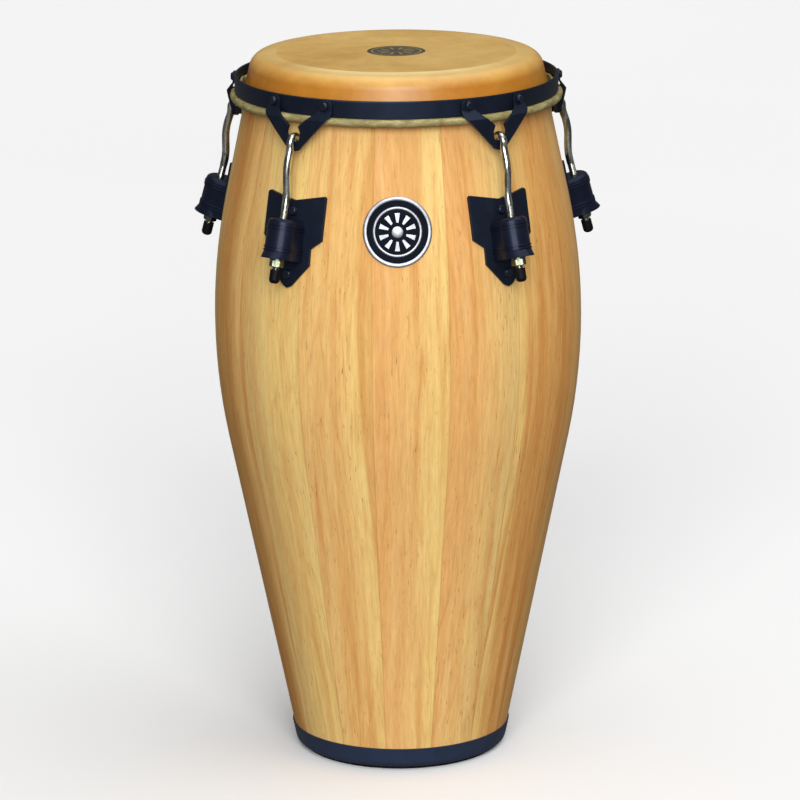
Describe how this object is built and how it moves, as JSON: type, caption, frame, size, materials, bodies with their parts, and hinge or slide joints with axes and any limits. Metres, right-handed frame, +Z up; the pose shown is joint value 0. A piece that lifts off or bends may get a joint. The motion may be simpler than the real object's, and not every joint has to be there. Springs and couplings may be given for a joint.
{
  "type": "conga drum",
  "caption": "Tall barrel-bellied wooden hand drum with a hide head, a steel tension ring on hooked tuning rods with nuts under side lugs, and a banded rubber foot.",
  "frame": {"origin": "on the drum's axis at the floor, in the centre of the open foot", "axes": "+Z up the axis to the head; -Y towards the badge, midway between two lugs; +X to the right as the badge is faced"},
  "size_m": [0.4316, 0.4193, 0.751],
  "materials": {
    "wood_light": "pale yellow hardwood, satin lacquer, vertical grain",
    "wood_amber": "honey hardwood, satin lacquer, vertical grain",
    "wood_rose": "pinkish tan hardwood, satin lacquer, vertical grain",
    "hide": "natural tan rawhide, smooth, slightly translucent look, mottled",
    "hide_edge": "rough rolled rawhide edge, yellowish and speckled",
    "black_steel": "gloss black powder coat with a blue tint",
    "black_casting": "gloss black coat over a pressed housing",
    "chrome_rod": "bright plated threaded rod",
    "zinc_nut": "yellow zinc plate",
    "plain_steel": "plain zinc-plated steel",
    "black_rubber": "soft matt black rubber",
    "badge_metal": "brushed rim round a black enamelled centre"
  },
  "bodies": {
    "shell": {"stave_01": "wood_rose", "stave_02": "wood_light", "stave_03": "wood_amber", "stave_04": "wood_light", "stave_05": "wood_rose", "stave_06": "wood_amber", "stave_07": "wood_light", "stave_08": "wood_rose", "stave_09": "wood_amber", "stave_10": "wood_light", "stave_11": "wood_amber", "stave_12": "wood_rose", "stave_13": "wood_light", "stave_14": "wood_amber", "stave_15": "wood_light", "drumhead_skin": "hide", "lug_plate_1": "black_steel", "lug_plate_2": "black_steel", "lug_plate_3": "black_steel", "lug_plate_4": "black_steel", "lug_plate_5": "black_steel", "lug_barrel_1": "black_casting", "lug_barrel_2": "black_casting", "lug_barrel_3": "black_casting", "lug_barrel_4": "black_casting", "lug_barrel_5": "black_casting", "nut_washers": "zinc_nut", "backing_plates": "plain_steel", "bracket_bolts": "black_steel", "bracket_nuts": "plain_steel", "badge": "badge_metal", "bottom_band": "black_steel", "foot_ring": "black_rubber"},
    "rim": {"tension_ring": "black_steel", "skin_tuck_roll": "hide_edge", "flesh_hoop_wire": "plain_steel", "hook_rivets": "black_steel", "hook_plate_1": "black_steel", "hook_plate_2": "black_steel", "hook_plate_3": "black_steel", "hook_plate_4": "black_steel", "hook_plate_5": "black_steel"},
    "rod_1": {"tension_rod_1": "chrome_rod", "rod_cap_1": "black_rubber"},
    "nut_1": {"tuning_nut_1": "zinc_nut"},
    "rod_2": {"tension_rod_2": "chrome_rod", "rod_cap_2": "black_rubber"},
    "nut_2": {"tuning_nut_2": "zinc_nut"},
    "rod_3": {"tension_rod_3": "chrome_rod", "rod_cap_3": "black_rubber"},
    "nut_3": {"tuning_nut_3": "zinc_nut"},
    "rod_4": {"tension_rod_4": "chrome_rod", "rod_cap_4": "black_rubber"},
    "nut_4": {"tuning_nut_4": "zinc_nut"},
    "rod_5": {"tension_rod_5": "chrome_rod", "rod_cap_5": "black_rubber"},
    "nut_5": {"tuning_nut_5": "zinc_nut"}
  },
  "joints": [
    {"name": "rim_travel", "type": "slide", "parent": "shell", "child": "rim", "axis": [0, 0, -1], "range_m": [-0.002, 0.006]},
    {"name": "rod_slide_1", "type": "slide", "parent": "shell", "child": "rod_1", "axis": [-0.1571, -0.2162, -0.9636], "range_m": [-0.00209, 0.00624]},
    {"name": "rod_slide_2", "type": "slide", "parent": "shell", "child": "rod_2", "axis": [0.1571, -0.2162, -0.9636], "range_m": [-0.00209, 0.00624]},
    {"name": "rod_slide_3", "type": "slide", "parent": "shell", "child": "rod_3", "axis": [0.2542, 0.0826, -0.9636], "range_m": [-0.00209, 0.00624]},
    {"name": "rod_slide_4", "type": "slide", "parent": "shell", "child": "rod_4", "axis": [0, 0.2672, -0.9636], "range_m": [-0.00209, 0.00624]},
    {"name": "rod_slide_5", "type": "slide", "parent": "shell", "child": "rod_5", "axis": [-0.2542, 0.0826, -0.9636], "range_m": [-0.00209, 0.00624]},
    {"name": "nut_turn_1", "type": "hinge", "parent": "shell", "child": "nut_1", "pos_m": [-0.12299, -0.16928, 0.5624], "axis": [0.1571, 0.2162, 0.9636], "continuous": true},
    {"name": "nut_turn_2", "type": "hinge", "parent": "shell", "child": "nut_2", "pos_m": [0.12299, -0.16928, 0.5624], "axis": [-0.1571, 0.2162, 0.9636], "continuous": true},
    {"name": "nut_turn_3", "type": "hinge", "parent": "shell", "child": "nut_3", "pos_m": [0.19901, 0.06466, 0.5624], "axis": [-0.2542, -0.0826, 0.9636], "continuous": true},
    {"name": "nut_turn_4", "type": "hinge", "parent": "shell", "child": "nut_4", "pos_m": [0, 0.20925, 0.5624], "axis": [0, -0.2672, 0.9636], "continuous": true},
    {"name": "nut_turn_5", "type": "hinge", "parent": "shell", "child": "nut_5", "pos_m": [-0.19901, 0.06466, 0.5624], "axis": [0.2542, -0.0826, 0.9636], "continuous": true}
  ],
  "couplings": [
    {"joint": "rod_slide_1", "follows": "rim_travel", "ratio": 1.0377},
    {"joint": "rod_slide_2", "follows": "rim_travel", "ratio": 1.0377},
    {"joint": "rod_slide_3", "follows": "rim_travel", "ratio": 1.0377},
    {"joint": "rod_slide_4", "follows": "rim_travel", "ratio": 1.0377},
    {"joint": "rod_slide_5", "follows": "rim_travel", "ratio": 1.0377},
    {"joint": "nut_turn_1", "follows": "rim_travel", "rad_per_m": 5216.3},
    {"joint": "nut_turn_2", "follows": "rim_travel", "rad_per_m": 5216.3},
    {"joint": "nut_turn_3", "follows": "rim_travel", "rad_per_m": 5216.3},
    {"joint": "nut_turn_4", "follows": "rim_travel", "rad_per_m": 5216.3},
    {"joint": "nut_turn_5", "follows": "rim_travel", "rad_per_m": 5216.3}
  ]
}
